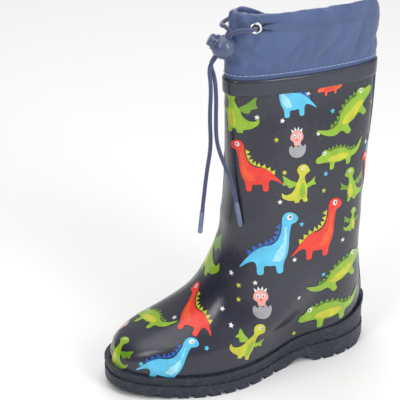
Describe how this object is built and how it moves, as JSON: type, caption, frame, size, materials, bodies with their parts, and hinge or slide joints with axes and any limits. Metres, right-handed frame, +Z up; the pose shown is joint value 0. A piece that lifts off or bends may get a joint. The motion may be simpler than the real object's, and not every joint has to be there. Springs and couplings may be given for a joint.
{
  "type": "rubber rain boot",
  "caption": "Child's pull-on rubber rain boot with a moulded lugged sole, printed rubber shaft and a nylon drawstring collar closed by a sprung cord lock.",
  "frame": {"origin": "under the middle of the sole, on the ground", "axes": "+Z up, +X towards the toe, +Y towards the outer side of the foot (the wearer's left)"},
  "size_m": [0.208, 0.0798, 0.2725],
  "materials": {
    "tread_rubber": "matt pebbled",
    "foam": "matt foam",
    "board": "pressed fibre",
    "printed_rubber": "satin gloss with a printed pattern",
    "felt": "matt felt",
    "lining_textile": "brushed knit",
    "trim_rubber": "gloss",
    "nylon": "woven, slight sheen",
    "thread": "thread",
    "nickel": "polished",
    "cord": "braided",
    "clear_sleeve": "gloss",
    "lock_plastic": "gloss",
    "spring_steel": "drawn wire"
  },
  "bodies": {
    "boot": {"outsole": "tread_rubber", "foxing": "tread_rubber", "midsole": "foam", "insole_board": "board", "footbed": "foam", "upper": "printed_rubber", "heel_counter": "board", "toe_puff": "board", "interlining": "felt", "lining": "lining_textile", "back_stay": "trim_rubber", "top_trim": "trim_rubber", "collar": "nylon", "collar_stitching": "thread", "eyelet_left": "nickel", "eyelet_right": "nickel", "eyelet_washer_left": "nickel", "eyelet_washer_right": "nickel", "drawcord_loop": "cord", "drawcord_strand_left": "cord", "drawcord_strand_right": "cord", "aglet_left": "clear_sleeve", "aglet_right": "clear_sleeve"},
    "cord_lock": {"cord_lock_body": "lock_plastic", "cord_lock_spring": "spring_steel"},
    "lock_plunger": {"cord_lock_plunger": "lock_plastic"}
  },
  "joints": [
    {"name": "cord_lock_slide", "type": "slide", "parent": "boot", "child": "cord_lock", "axis": [0.4803, -0.224, -0.848], "range_m": [0, 0.004]},
    {"name": "plunger_press", "type": "slide", "parent": "cord_lock", "child": "lock_plunger", "axis": [-0.7686, 0.3584, -0.5299], "range_m": [0, 0.002], "stiffness_N_per_m": 400, "deforming": ["cord_lock_spring"]}
  ]
}
